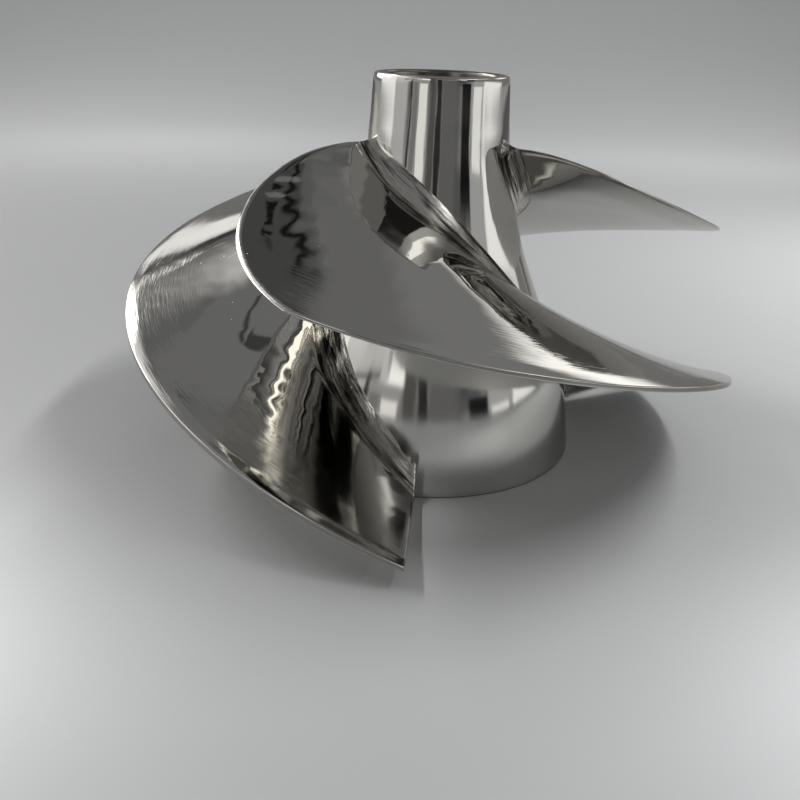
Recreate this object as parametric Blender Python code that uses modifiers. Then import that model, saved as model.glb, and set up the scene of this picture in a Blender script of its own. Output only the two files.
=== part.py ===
"""One-piece impeller for a personal watercraft's jet pump.

A flared hollow hub and three swept blades, cast in one piece of stainless steel.
Metres, +Z up. The origin is on the pump axis, in the plane of the hub's wide rear face.
"""
import bmesh
import bpy
from math import cos, pi, radians, sin, sqrt
from mathutils import Vector

# Driving dimensions
TIP_RADIUS = 0.0795
HEIGHT = 0.0964
BASE_RADIUS = 0.0409
NECK_RADIUS = 0.0167

# Outer side of the hub, (height, radius) from the wide base up to the neck
HUB_OUTLINE = (
    (0.000, BASE_RADIUS), (0.012, 0.0392), (0.025, 0.0362), (0.040, 0.0292),
    (0.055, 0.0233), (0.072, 0.0190), (0.084, 0.0176), (HEIGHT, NECK_RADIUS))
OUTLINE_STEPS = 2
RIM_ROUND = 0.0008

# Inside of the hub: a counterbored shaft bore in front, a deep hollow round a boss behind
COUNTERBORE_RADIUS = 0.0139
COUNTERBORE_FLOOR = HEIGHT - 0.022
SHAFT_BORE_RADIUS = 0.0096
SHELL_WALL = 0.0045
HOLLOW_TOP = 0.054
HOLLOW_STEPS = 4
BOSS_RADIUS = 0.0150
BOSS_FOOT = 0.010
HUB_SEGMENTS = 72

# Splines of the shaft bore, cut between the boss's foot and the counterbore
SPLINE_TEETH = 16
SPLINE_DEPTH = 0.0012
SPLINE_OVERRUN = 0.0020
SPLINE_GROOVE = 0.45
SPLINE_FLANK = 0.10

# Blades. A turn is an angle in radians from a blade's front tip, growing towards its rear edge
BLADE_COUNT = 3
FIRST_TIP_AZIMUTH = radians(250.2)
BLADE_WRAP = radians(138.0)
ROOT_LEAD = radians(41.7)
LEAD_CURVE = 1.95
LEAD_FULLNESS = 0.875
LEAD_ROOT_RADIUS = 0.0180
ROOT_THICKNESS = 0.0042
TIP_THICKNESS = 0.0028
LEAD_THICKNESS = 0.0016
LEAD_TAPER = 0.014
TAIL_THICKNESS = 0.0016
TAIL_TAPER = 0.060
NOSE_LENGTH = 0.0016
FACE_BELLY = -0.60
FACE_SKEW = -1.10

# Root fillets on the front and rear sides of a blade
FRONT, REAR = 1, -1
FILLET_WIDTH = {FRONT: 0.0055, REAR: 0.0050}
FRONT_FILLET_HEIGHT = 0.0055
LEAD_FILLET_HEIGHT = 0.0025
REAR_FILLET_HEIGHT = 0.0050
REAR_FILLET_SHARE = 0.55
ROOT_SINK = 0.0016

# Mesh steps on a blade: round the nose, along the length, over a fillet and across the face
NOSE_STEPS = 2
LENGTH_STEPS = 24
FILLET_STEPS = 3
WIDTH_STEPS = 9
TIPWARD_SPACING = 1.4


def outer_edge_height(turn):
    """Height of a blade's front side at the tip radius."""
    return 0.0586 - 0.0159 * turn + 0.0011 * turn ** 2 - 0.00142 * turn ** 3


def ridge_height(turn):
    """Height at which the front root fillet runs out on the hub."""
    return 0.07496 - 0.01277 * turn - 0.00612 * turn ** 2


def face_root_height(turn):
    """Height at which a blade's front side would meet the hub without its fillet."""
    ahead = min(max(-turn / ROOT_LEAD, 0.0), 1.0)
    return ridge_height(turn) - FRONT_FILLET_HEIGHT * (1 - ahead ** 1.5)


def hub_radius(height):
    """Radius of the hub's outer side, on a smooth curve through the outline's points."""
    height = min(max(height, 0.0), HEIGHT)
    last = len(HUB_OUTLINE) - 1
    low = max(i for i in range(last) if HUB_OUTLINE[i][0] <= height)
    (z0, r0), (z1, r1) = HUB_OUTLINE[low], HUB_OUTLINE[low + 1]
    before, after = HUB_OUTLINE[max(low - 1, 0)], HUB_OUTLINE[min(low + 2, last)]
    span = z1 - z0
    t = (height - z0) / span
    rise0 = span * (r1 - before[1]) / (z1 - before[0])
    rise1 = span * (after[1] - r0) / (after[0] - z0)
    return (r0 * (2 * t ** 3 - 3 * t ** 2 + 1) + rise0 * (t ** 3 - 2 * t ** 2 + t)
            + r1 * (3 * t ** 2 - 2 * t ** 3) + rise1 * (t ** 3 - t ** 2))


def hub_profile():
    """Closed half section of the hub: down its outer side, up the hollow, round boss and bore."""
    outside = []
    for (z0, _), (z1, _) in zip(HUB_OUTLINE, HUB_OUTLINE[1:]):
        outside += [z0 + (z1 - z0) * step / OUTLINE_STEPS for step in range(OUTLINE_STEPS)]
    hollow = [HOLLOW_TOP * step / HOLLOW_STEPS for step in range(HOLLOW_STEPS + 1)]
    points = [(NECK_RADIUS - RIM_ROUND, HEIGHT), (NECK_RADIUS, HEIGHT - RIM_ROUND)]
    points += [(hub_radius(z), z) for z in reversed(outside)]
    points += [(hub_radius(z) - SHELL_WALL, z) for z in hollow]
    points += [(BOSS_RADIUS, HOLLOW_TOP), (BOSS_RADIUS, BOSS_FOOT), (SHAFT_BORE_RADIUS, BOSS_FOOT)]
    points += [(SHAFT_BORE_RADIUS, COUNTERBORE_FLOOR), (COUNTERBORE_RADIUS, COUNTERBORE_FLOOR)]
    points += [(COUNTERBORE_RADIUS, HEIGHT - RIM_ROUND), (COUNTERBORE_RADIUS + RIM_ROUND, HEIGHT)]
    return points


def add_object(name, mesh, collection):
    obj = bpy.data.objects.new(name, mesh)
    collection.objects.link(obj)
    return obj


def add_boolean(target, shape, operation):
    """Joins a shape to the target or cuts it out, and hides the shape itself."""
    shape.hide_render = True
    shape.display_type = "WIRE"
    modifier = target.modifiers.new(shape.name, "BOOLEAN")
    modifier.operation = operation
    modifier.solver = "EXACT"
    modifier.object = shape


def add_hub(collection):
    """The turned hub, which the blades are joined to."""
    profile = hub_profile()
    mesh = bpy.data.meshes.new("hub_section")
    edges = [(i, (i + 1) % len(profile)) for i in range(len(profile))]
    mesh.from_pydata([(radius, 0.0, height) for radius, height in profile], edges, [])
    hub = add_object("impeller_casting", mesh, collection)
    turned = hub.modifiers.new("Turn", "SCREW")
    turned.steps = HUB_SEGMENTS
    turned.render_steps = HUB_SEGMENTS
    turned.use_smooth_shade = True
    turned.use_merge_vertices = True
    turned.merge_threshold = 0.00001
    return hub


def face_height(radius, turn):
    """Front side of a blade without its fillet, from the hub out to the tip."""
    root = face_root_height(turn)
    root_radius = hub_radius(root)
    across = max((radius - root_radius) / (TIP_RADIUS - root_radius), 0.0)
    front_part = 1 - (turn + ROOT_LEAD) / (BLADE_WRAP + ROOT_LEAD)
    belly = FACE_BELLY + FACE_SKEW * front_part * (1 - 2 * across)
    return root + (outer_edge_height(turn) - root) * (across + belly * across * (1 - across))


def slant(radius, turn):
    """Vertical thickness of a blade for each unit of its true thickness."""
    step = 0.001
    along = (face_height(radius, turn + step) - face_height(radius, turn - step)) / (2 * step * radius)
    across = (face_height(radius + step, turn) - face_height(radius, turn)) / step
    return sqrt(1 + along ** 2 + across ** 2)


def blade_width_part(radius):
    """Part of the blade's width that lies inside a radius, from 0 at the hub to 1 at the tip."""
    return min(max((radius - LEAD_ROOT_RADIUS) / (TIP_RADIUS - LEAD_ROOT_RADIUS), 0.0), 1.0)


def lead_turn(radius):
    """Turn of the leading edge at a radius."""
    return -ROOT_LEAD * (1 - blade_width_part(radius) ** LEAD_CURVE) ** LEAD_FULLNESS


def lead_run(radius):
    """Distance from the leading edge, square to it, for each radian of turn."""
    step = 0.0005
    sweep = radius * (lead_turn(radius) - lead_turn(radius - step)) / step
    return radius / sqrt(1 + sweep ** 2)


def thickness(radius, turn):
    """True thickness of a blade, less towards the tip, the leading edge and the rear edge."""
    full = ROOT_THICKNESS + (TIP_THICKNESS - ROOT_THICKNESS) * blade_width_part(radius)
    behind_lead = max(turn - lead_turn(radius), 0.0) * lead_run(radius)
    lead = min(behind_lead / LEAD_TAPER, 1.0)
    tail = min(max(BLADE_WRAP - turn, 0.0) * radius / TAIL_TAPER, 1.0)
    thinned = LEAD_THICKNESS + (full - LEAD_THICKNESS) * sin(lead * pi / 2)
    return TAIL_THICKNESS + (thinned - TAIL_THICKNESS) * sin(tail * pi / 2)


def side_point(side, station, turn):
    """Radius, turn and height of a blade's front or rear side at one station of its width."""
    root = face_root_height(turn)
    fillet_height = max(ridge_height(turn) - root, LEAD_FILLET_HEIGHT)
    if side == REAR:
        root -= thickness(hub_radius(root), turn) * slant(hub_radius(root), turn)
        fillet_height = min(REAR_FILLET_HEIGHT, REAR_FILLET_SHARE * root)
    fillet_end = hub_radius(root) + FILLET_WIDTH[side]
    rise = 0.0
    if station <= FILLET_STEPS:
        out = FILLET_WIDTH[side] * station / FILLET_STEPS if station else -ROOT_SINK
        rise = side * fillet_height * (1 - out / FILLET_WIDTH[side]) ** 2
        radius = hub_radius(root + rise) + out
    else:
        left = 1 - (station - FILLET_STEPS) / WIDTH_STEPS
        radius = TIP_RADIUS - (TIP_RADIUS - fillet_end) * left ** TIPWARD_SPACING
    height = face_height(radius, turn) + rise
    if side == REAR:
        height -= thickness(radius, turn) * slant(radius, turn)
    return Vector((radius, turn, height))


def station_turns(station):
    """Turns of the mesh rows at a station, and how far each has swollen to full thickness."""
    radius = side_point(FRONT, station, -ROOT_LEAD)[0]
    start = lead_turn(radius)
    nose = NOSE_LENGTH / lead_run(radius)
    rows = []
    for row in range(NOSE_STEPS):
        angle = row / NOSE_STEPS * pi / 2
        rows.append((start + nose * (1 - cos(angle)), sin(angle)))
    length = BLADE_WRAP - start - nose
    rows += [(start + nose + length * row / LENGTH_STEPS, 1.0) for row in range(LENGTH_STEPS + 1)]
    return rows


def station_loop(station):
    """Points round a blade at a station: the front side to the nose, then back along the rear."""
    front, rear = [], []
    for turn, swell in station_turns(station):
        front_point = side_point(FRONT, station, turn)
        rear_point = side_point(REAR, station, turn)
        middle = (front_point + rear_point) / 2
        front.append(middle.lerp(front_point, swell))
        rear.append(middle.lerp(rear_point, swell))
    return front[::-1] + rear[1:]


def blade_mesh(azimuth):
    """Closed loft through a blade's stations, from a root sunk in the hub to the tip's land."""
    build = bmesh.new()
    rings = []
    for station in range(FILLET_STEPS + WIDTH_STEPS + 1):
        loop = station_loop(station)
        places = [(r * cos(azimuth + turn), r * sin(azimuth + turn), z) for r, turn, z in loop]
        rings.append([build.verts.new(place) for place in places])
    count = len(rings[0])
    for inner, outer in zip(rings, rings[1:]):
        for i in range(count):
            j = (i + 1) % count
            build.faces.new((inner[i], inner[j], outer[j], outer[i]))
    for ring in (rings[0], rings[-1]):
        for i in range(count // 2 - 1):
            build.faces.new((ring[i], ring[i + 1], ring[count - 2 - i], ring[count - 1 - i]))
        build.faces.new(ring[count // 2 - 1:count // 2 + 2])
    bmesh.ops.recalc_face_normals(build, faces=build.faces)
    mesh = bpy.data.meshes.new("blade")
    build.to_mesh(mesh)
    build.free()
    return mesh


def spline_outline():
    """Star-shaped outline of the broach: one groove for each tooth of the bore."""
    outer = SHAFT_BORE_RADIUS + SPLINE_DEPTH
    inner = SHAFT_BORE_RADIUS - SPLINE_DEPTH / 3
    half = SPLINE_GROOVE / 2
    corners = ((-half - SPLINE_FLANK, inner), (-half, outer), (half, outer), (half + SPLINE_FLANK, inner))
    outline = []
    for tooth in range(SPLINE_TEETH):
        for part, radius in corners:
            angle = 2 * pi * (tooth + part) / SPLINE_TEETH
            outline.append((radius * cos(angle), radius * sin(angle)))
    return outline


def cut_splines(hub, collection):
    """Broaches splines into the shaft bore, from the boss's foot to the counterbore."""
    build = bmesh.new()
    foot = BOSS_FOOT - SPLINE_OVERRUN
    bottom = build.faces.new([build.verts.new((x, y, foot)) for x, y in spline_outline()])
    pulled = bmesh.ops.extrude_face_region(build, geom=[bottom])["geom"]
    raised = [item for item in pulled if isinstance(item, bmesh.types.BMVert)]
    length = COUNTERBORE_FLOOR + SPLINE_OVERRUN - foot
    bmesh.ops.translate(build, verts=raised, vec=(0.0, 0.0, length))
    bmesh.ops.recalc_face_normals(build, faces=build.faces)
    mesh = bpy.data.meshes.new("spline_broach")
    build.to_mesh(mesh)
    build.free()
    add_boolean(hub, add_object("spline_broach", mesh, collection), "DIFFERENCE")


def join_blades(hub, collection):
    """Sets the blades round the hub and makes one casting of them."""
    for index in range(BLADE_COUNT):
        azimuth = FIRST_TIP_AZIMUTH + index * 2 * pi / BLADE_COUNT
        blade = add_object(f"blade_{index + 1}", blade_mesh(azimuth), collection)
        add_boolean(hub, blade, "UNION")


def add_material(obj):
    """Mirror-polished stainless steel."""
    steel = bpy.data.materials.new("polished_stainless_steel")
    steel.use_nodes = True
    shader = steel.node_tree.nodes["Principled BSDF"]
    shader.inputs["Base Color"].default_value = (0.62, 0.61, 0.58, 1.0)
    shader.inputs["Metallic"].default_value = 1.0
    shader.inputs["Roughness"].default_value = 0.08
    obj.data.materials.append(steel)


def main():
    for obj in list(bpy.data.objects):
        bpy.data.objects.remove(obj)
    parts = bpy.data.collections.new("watercraft_impeller")
    guides = bpy.data.collections.new("joined_shapes")
    for collection in (parts, guides):
        bpy.context.scene.collection.children.link(collection)
    hub = add_hub(parts)
    cut_splines(hub, guides)
    join_blades(hub, guides)
    add_material(hub)


main()
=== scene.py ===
from math import atan2, cos, pi, radians, sin, sqrt

import bmesh
import bpy
from mathutils import Matrix, Vector, noise


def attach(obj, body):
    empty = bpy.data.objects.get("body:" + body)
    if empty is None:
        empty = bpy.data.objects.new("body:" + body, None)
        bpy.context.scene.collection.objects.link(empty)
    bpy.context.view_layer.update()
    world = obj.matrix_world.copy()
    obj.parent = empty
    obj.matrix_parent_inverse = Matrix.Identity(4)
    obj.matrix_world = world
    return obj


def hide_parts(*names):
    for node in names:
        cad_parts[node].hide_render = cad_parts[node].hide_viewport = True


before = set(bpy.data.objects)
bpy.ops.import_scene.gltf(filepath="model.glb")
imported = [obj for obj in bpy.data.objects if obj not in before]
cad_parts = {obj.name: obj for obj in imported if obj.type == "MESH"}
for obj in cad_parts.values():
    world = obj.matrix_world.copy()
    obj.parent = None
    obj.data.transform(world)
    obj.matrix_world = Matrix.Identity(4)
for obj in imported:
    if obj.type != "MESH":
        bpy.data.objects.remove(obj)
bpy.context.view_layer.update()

# Driving dimensions of the casting
TIP_RADIUS = 0.0795
HEIGHT = 0.0964
BASE_RADIUS = 0.0409
NECK_RADIUS = 0.0167
HUB_OUTLINE = (
    (0.000, BASE_RADIUS), (0.012, 0.0392), (0.025, 0.0362), (0.040, 0.0292),
    (0.055, 0.0233), (0.072, 0.0190), (0.084, 0.0176), (HEIGHT, NECK_RADIUS))
RIM_ROUND = 0.0008
BASE_ROUND = 0.0005
COUNTERBORE_RADIUS = 0.0139
COUNTERBORE_FLOOR = HEIGHT - 0.022
SHAFT_BORE_RADIUS = 0.0096
SHELL_WALL = 0.0045
HOLLOW_TOP = 0.054
BOSS_RADIUS = 0.0150
BOSS_FOOT = 0.010
INNER_CHAMFER = 0.0006

# Splines of the shaft bore
SPLINE_TEETH = 16
SPLINE_DEPTH = 0.0012
SPLINE_OVERRUN = 0.0020
SPLINE_GROOVE = 0.45
SPLINE_FLANK = 0.10

# Blades. A turn is an angle in radians from a blade's front tip, growing towards its rear edge
BLADE_COUNT = 3
FIRST_TIP_AZIMUTH = radians(250.2)
BLADE_WRAP = radians(138.0)
ROOT_LEAD = radians(41.7)
LEAD_CURVE = 1.95
LEAD_FULLNESS = 0.875
LEAD_ROOT_RADIUS = 0.0180
ROOT_THICKNESS = 0.0042
TIP_THICKNESS = 0.0028
RIM_THICKNESS = 0.0013
LEAD_THICKNESS = 0.0009
LEAD_TAPER = 0.014
TAIL_THICKNESS = 0.0016
TAIL_TAPER = 0.060
NOSE_LENGTH = 0.0016
FACE_BELLY = -0.60
FACE_SKEW = -1.10
FRONT, REAR = 1, -1
FILLET_WIDTH = {FRONT: 0.0055, REAR: 0.0050}
FRONT_FILLET_HEIGHT = 0.0055
LEAD_FILLET_HEIGHT = 0.0025
REAR_FILLET_HEIGHT = 0.0050
REAR_FILLET_SHARE = 0.55
ROOT_SINK = 0.0016

# Hand-worked edges of a blade. The rim rolls off by a drop given at turns along it, in radians
EDGE_ROUND = 0.00025
TAIL_ROUND = 0.00030
LEAD_BEVEL = 0.0016
LEAD_BEVEL_DROP = 0.00012
LEAD_BEVEL_CURVE = 1.4
RIM_WIDTH = 0.0032
RIM_DROPS = ((0.0, 0.00010), (0.30, 0.00035), (0.80, 0.00040), (1.50, 0.00028), (1.80, 0.00060),
             (2.41, 0.00060))
RIM_CURVE = 1.7
DRESSED_SHARE = 0.6
EDGE_SHARE = 0.4

# Low waves that polishing by hand leaves on the blades, as height and spacing. They are strongest
# up to the first turn of LEAD_WAVES, and only CALM_SHARE is left past the second.
# The hub, buffed on a lathe, has slight flutes
BLADE_WAVES = ((0.000042, 0.0044), (0.000080, 0.0120))
LEAD_WAVES = (-0.2, 0.75)
CALM_SHARE = 0.35
FLUTE_HEIGHT = 0.000010
FLUTE_SPACING = Vector((0.0030, 0.0030, 0.0180))
WAVE_FADE = 0.005
INSIDE_MARGIN = 0.0003
GRADIENT_STEP = 0.0002

# Mesh steps
HUB_SEGMENTS = 216
OUTLINE_STEPS = 12
HOLLOW_STEPS = 24
ROUND_STEPS = 4
NOSE_STEPS = 6
LEAD_STEPS = 14
LENGTH_STEPS = 96
FILLET_STEPS = 8
WIDTH_STEPS = 34
RIM_STEPS = 6
TIPWARD_SPACING = 1.1
LEAD_SHARE = 0.4
SHARP_ANGLE = radians(38)

# How far the rear side's grinding pattern lies from the front side's
REAR_SHIFT = 1.0

# Finishes, in the order of the casting's material slots
BUFFED_HUB, BUFFED_BLADE, GROUND_ROOT, TURNED_LAND, MACHINED, CAST = range(6)


def outer_edge_height(turn):
    """Height of a blade's front side at the tip radius."""
    return 0.0586 - 0.0159 * turn + 0.0011 * turn ** 2 - 0.00142 * turn ** 3


def ridge_height(turn):
    """Height at which the front root fillet runs out on the hub."""
    return 0.07496 - 0.01277 * turn - 0.00612 * turn ** 2


def face_root_height(turn):
    """Height at which a blade's front side would meet the hub without its fillet."""
    ahead = min(max(-turn / ROOT_LEAD, 0.0), 1.0)
    return ridge_height(turn) - FRONT_FILLET_HEIGHT * (1 - ahead ** 1.5)


def hub_radius(height):
    """Radius of the hub's outer side, on a smooth curve through the outline's points."""
    height = min(max(height, 0.0), HEIGHT)
    last = len(HUB_OUTLINE) - 1
    low = max(i for i in range(last) if HUB_OUTLINE[i][0] <= height)
    (z0, r0), (z1, r1) = HUB_OUTLINE[low], HUB_OUTLINE[low + 1]
    before, after = HUB_OUTLINE[max(low - 1, 0)], HUB_OUTLINE[min(low + 2, last)]
    span = z1 - z0
    t = (height - z0) / span
    rise0 = span * (r1 - before[1]) / (z1 - before[0])
    rise1 = span * (after[1] - r0) / (after[0] - z0)
    return (r0 * (2 * t ** 3 - 3 * t ** 2 + 1) + rise0 * (t ** 3 - 2 * t ** 2 + t)
            + r1 * (3 * t ** 2 - 2 * t ** 3) + rise1 * (t ** 3 - t ** 2))


def rounded(corner, start, end, size):
    """Points of a quarter round at a corner, from the side of one neighbour to the other's."""
    corner, start, end = Vector(corner), Vector(start), Vector(end)
    first = corner + (start - corner).normalized() * size
    last = corner + (end - corner).normalized() * size
    steps = [step / ROUND_STEPS for step in range(ROUND_STEPS + 1)]
    return [tuple((1 - s) ** 2 * first + 2 * s * (1 - s) * corner + s * s * last) for s in steps]


def hub_profile():
    """Closed half section of the hub, as (radius, height) points with the finish that follows each."""
    outside = []
    for (z0, _), (z1, _) in zip(HUB_OUTLINE, HUB_OUTLINE[1:]):
        outside += [z0 + (z1 - z0) * step / OUTLINE_STEPS for step in range(OUTLINE_STEPS)]
    side = [(hub_radius(z), z) for z in reversed(outside) if z > BASE_ROUND * 2]
    hollow = [HOLLOW_TOP * step / HOLLOW_STEPS for step in range(1, HOLLOW_STEPS)]
    roof = (hub_radius(HOLLOW_TOP) - SHELL_WALL, HOLLOW_TOP)
    lip = (BASE_RADIUS - SHELL_WALL, 0.0)
    base = (BASE_RADIUS, 0.0)
    rim = (NECK_RADIUS, HEIGHT)
    mouth = (COUNTERBORE_RADIUS, HEIGHT)
    floor = (COUNTERBORE_RADIUS, COUNTERBORE_FLOOR)
    ledge = (SHAFT_BORE_RADIUS, COUNTERBORE_FLOOR)
    foot_in, foot_out = (SHAFT_BORE_RADIUS, BOSS_FOOT), (BOSS_RADIUS, BOSS_FOOT)
    boss_top = (BOSS_RADIUS, HOLLOW_TOP)
    sections = (
        (BUFFED_HUB, rounded(rim, mouth, (NECK_RADIUS, 0.0), RIM_ROUND) + side),
        (MACHINED, rounded(base, side[-1], lip, BASE_ROUND)),
        (CAST, rounded(lip, base, (lip[0], HEIGHT), INNER_CHAMFER)),
        (CAST, [(hub_radius(z) - SHELL_WALL, z) for z in hollow]),
        (CAST, rounded(roof, lip, boss_top, RIM_ROUND * 3)),
        (CAST, rounded(boss_top, roof, foot_out, RIM_ROUND * 2)),
        (MACHINED, rounded(foot_out, boss_top, foot_in, INNER_CHAMFER)),
        (MACHINED, rounded(foot_in, foot_out, ledge, INNER_CHAMFER)),
        (MACHINED, rounded(ledge, foot_in, floor, INNER_CHAMFER)),
        (MACHINED, rounded(floor, ledge, mouth, INNER_CHAMFER / 2)),
        (MACHINED, rounded(mouth, floor, rim, RIM_ROUND)),
    )
    return [(radius, height, finish) for finish, points in sections for radius, height in points]


def turned(vector, angle):
    """A vector turned round the pump axis."""
    return Vector((vector[0] * cos(angle) - vector[1] * sin(angle),
                   vector[0] * sin(angle) + vector[1] * cos(angle), vector[2]))


def azimuth_of(mesh, corner):
    """Azimuth of a face corner round the pump axis."""
    place = mesh.vertices[mesh.loops[corner].vertex_index].co
    return atan2(place.y, place.x)


def new_mesh(name, build, finishes, worked=None):
    """Turns a bmesh into a smooth mesh, with each face's finish and the corners' own normals kept.

    Where worked is given, it is each vertex's place along and across the way it was ground, and its turn.
    """
    bmesh.ops.recalc_face_normals(build, faces=build.faces)
    mesh = bpy.data.meshes.new(name)
    build.to_mesh(mesh)
    build.free()
    mesh.attributes.new("finish", "INT", "FACE").data.foreach_set("value", finishes)
    mesh.shade_smooth()
    mesh.set_sharp_from_angle(angle=SHARP_ANGLE)
    kept = mesh.attributes.new("clean_normal", "FLOAT_VECTOR", "CORNER").data
    for corner, normal in enumerate(mesh.corner_normals):
        kept[corner].vector = turned(normal.vector, -azimuth_of(mesh, corner))
    places = mesh.attributes.new("worked", "FLOAT_VECTOR", "CORNER").data
    for corner, loop in enumerate(mesh.loops):
        places[corner].vector = worked[loop.vertex_index] if worked else (0, 0, 0)
    return mesh


def hub_mesh():
    """The turned hub."""
    profile = hub_profile()
    build = bmesh.new()
    rings, finishes = [], []
    for segment in range(HUB_SEGMENTS):
        angle = 2 * pi * segment / HUB_SEGMENTS
        rings.append([build.verts.new((r * cos(angle), r * sin(angle), z)) for r, z, _ in profile])
    count = len(profile)
    for segment in range(HUB_SEGMENTS):
        ring, beside = rings[segment], rings[(segment + 1) % HUB_SEGMENTS]
        for i in range(count):
            j = (i + 1) % count
            build.faces.new((ring[i], ring[j], beside[j], beside[i]))
            finishes.append(profile[i][2])
    return new_mesh("hub", build, finishes)


def face_height(radius, turn):
    """Front side of a blade without its fillet, from the hub out to the tip."""
    root = face_root_height(turn)
    root_radius = hub_radius(root)
    across = max((radius - root_radius) / (TIP_RADIUS - root_radius), 0.0)
    front_part = 1 - (turn + ROOT_LEAD) / (BLADE_WRAP + ROOT_LEAD)
    belly = FACE_BELLY + FACE_SKEW * front_part * (1 - 2 * across)
    return root + (outer_edge_height(turn) - root) * (across + belly * across * (1 - across))


def slant(radius, turn):
    """Vertical thickness of a blade for each unit of its true thickness."""
    step = 0.001
    along = (face_height(radius, turn + step) - face_height(radius, turn - step)) / (2 * step * radius)
    across = (face_height(radius + step, turn) - face_height(radius, turn)) / step
    return sqrt(1 + along ** 2 + across ** 2)


def blade_width_part(radius):
    """Part of the blade's width that lies inside a radius, from 0 at the hub to 1 at the tip."""
    return min(max((radius - LEAD_ROOT_RADIUS) / (TIP_RADIUS - LEAD_ROOT_RADIUS), 0.0), 1.0)


def lead_turn(radius):
    """Turn of the leading edge at a radius."""
    return -ROOT_LEAD * (1 - blade_width_part(radius) ** LEAD_CURVE) ** LEAD_FULLNESS


def lead_run(radius):
    """Distance from the leading edge, square to it, for each radian of turn."""
    step = 0.0005
    sweep = radius * (lead_turn(radius) - lead_turn(radius - step)) / step
    return radius / sqrt(1 + sweep ** 2)


def lead_distance(radius, turn):
    """Distance of a place on the blade behind the leading edge."""
    return max(turn - lead_turn(radius), 0.0) * lead_run(radius)


def thickness(radius, turn):
    """True thickness of a blade, less towards the tip, the leading edge and the rear edge."""
    rim = RIM_THICKNESS + (TIP_THICKNESS - RIM_THICKNESS) * (max(turn, 0.0) / BLADE_WRAP) ** 2
    full = ROOT_THICKNESS + (rim - ROOT_THICKNESS) * blade_width_part(radius)
    lead = min(lead_distance(radius, turn) / LEAD_TAPER, 1.0)
    tail = min(max(BLADE_WRAP - turn, 0.0) * radius / TAIL_TAPER, 1.0)
    thinned = LEAD_THICKNESS + (full - LEAD_THICKNESS) * sin(lead * pi / 2)
    return TAIL_THICKNESS + (thinned - TAIL_THICKNESS) * sin(tail * pi / 2)


def between(points, place):
    """Value at a place, on straight lines between (place, value) points."""
    for (start, low), (end, high) in zip(points, points[1:]):
        if place < end:
            return low + (high - low) * max(place - start, 0.0) / (end - start)
    return points[-1][1]


def dressing(radius, turn):
    """Depth that the bevel of the leading edge and the rolled rim take off a blade's front side."""
    lead_part = max(1 - lead_distance(radius, turn) / LEAD_BEVEL, 0.0)
    rim_part = max(1 - (TIP_RADIUS - radius) / RIM_WIDTH, 0.0)
    depth = LEAD_BEVEL_DROP * lead_part ** LEAD_BEVEL_CURVE
    depth += between(RIM_DROPS, turn) * rim_part ** RIM_CURVE
    return min(depth, DRESSED_SHARE * thickness(radius, turn))


def blade_stations():
    """Stations of a blade's width, as parts of the fillet, face and rim, and the angle round the edge."""
    stations = [(-ROOT_SINK / FILLET_WIDTH[FRONT], 0.0, 0.0, 0.0)]
    stations += [(step / FILLET_STEPS, 0.0, 0.0, 0.0) for step in range(FILLET_STEPS + 1)]
    stations += [(1.0, 1 - (1 - step / WIDTH_STEPS) ** TIPWARD_SPACING, 0.0, 0.0)
                 for step in range(1, WIDTH_STEPS + 1)]
    stations += [(1.0, 1.0, step / RIM_STEPS, 0.0) for step in range(1, RIM_STEPS + 1)]
    stations += [(1.0, 1.0, 1.0, step / ROUND_STEPS * pi / 2) for step in range(1, ROUND_STEPS + 1)]
    return stations


def side_point(side, station, turn):
    """Radius, turn and height of a blade's front or rear side at one station of its width."""
    fillet_part, face_part, rim_part, edge_angle = station
    root = face_root_height(turn)
    fillet_height = max(ridge_height(turn) - root, LEAD_FILLET_HEIGHT)
    if side == REAR:
        root -= thickness(hub_radius(root), turn) * slant(hub_radius(root), turn)
        fillet_height = min(REAR_FILLET_HEIGHT, REAR_FILLET_SHARE * root)
    fillet_end = hub_radius(root) + FILLET_WIDTH[side]
    rise = side * fillet_height * (1 - fillet_part) ** 2
    if fillet_part < 1:
        radius = hub_radius(root + rise) + FILLET_WIDTH[side] * fillet_part
    else:
        face_width = TIP_RADIUS - RIM_WIDTH - fillet_end
        radius = fillet_end + face_width * face_part + (RIM_WIDTH - EDGE_ROUND) * rim_part
        radius += EDGE_ROUND * sin(edge_angle)
    full, dressed = thickness(radius, turn), dressing(radius, turn)
    edge = min(EDGE_ROUND, EDGE_SHARE * (full - dressed)) * (1 - cos(edge_angle))
    depth = dressed + edge if side == FRONT else full - edge
    return Vector((radius, turn, face_height(radius, turn) + rise - depth * slant(radius, turn)))


def station_rows(station):
    """Turns of the mesh rows at a station, and how far each has swollen to full thickness."""
    radius = side_point(FRONT, station, -ROOT_LEAD)[0]
    start = lead_turn(radius)
    run = lead_run(radius)
    rows = []
    for step in range(NOSE_STEPS):
        angle = step / NOSE_STEPS * pi / 2
        rows.append((start + NOSE_LENGTH / run * (1 - cos(angle)), sin(angle)))
    begin = start + NOSE_LENGTH / run
    length = BLADE_WRAP - TAIL_ROUND / radius - begin
    lead_part = min(LEAD_TAPER / run / length, LEAD_SHARE)
    rows += [(begin + length * lead_part * step / LEAD_STEPS, 1.0) for step in range(LEAD_STEPS)]
    rows += [(begin + length * (lead_part + (1 - lead_part) * step / LENGTH_STEPS), 1.0)
             for step in range(LENGTH_STEPS + 1)]
    for step in range(1, ROUND_STEPS + 1):
        angle = step / ROUND_STEPS * pi / 2
        turn = BLADE_WRAP - TAIL_ROUND / radius * (1 - sin(angle))
        rows.append((turn, 1 - 2 * TAIL_ROUND / TAIL_THICKNESS * (1 - cos(angle))))
    return rows


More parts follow.
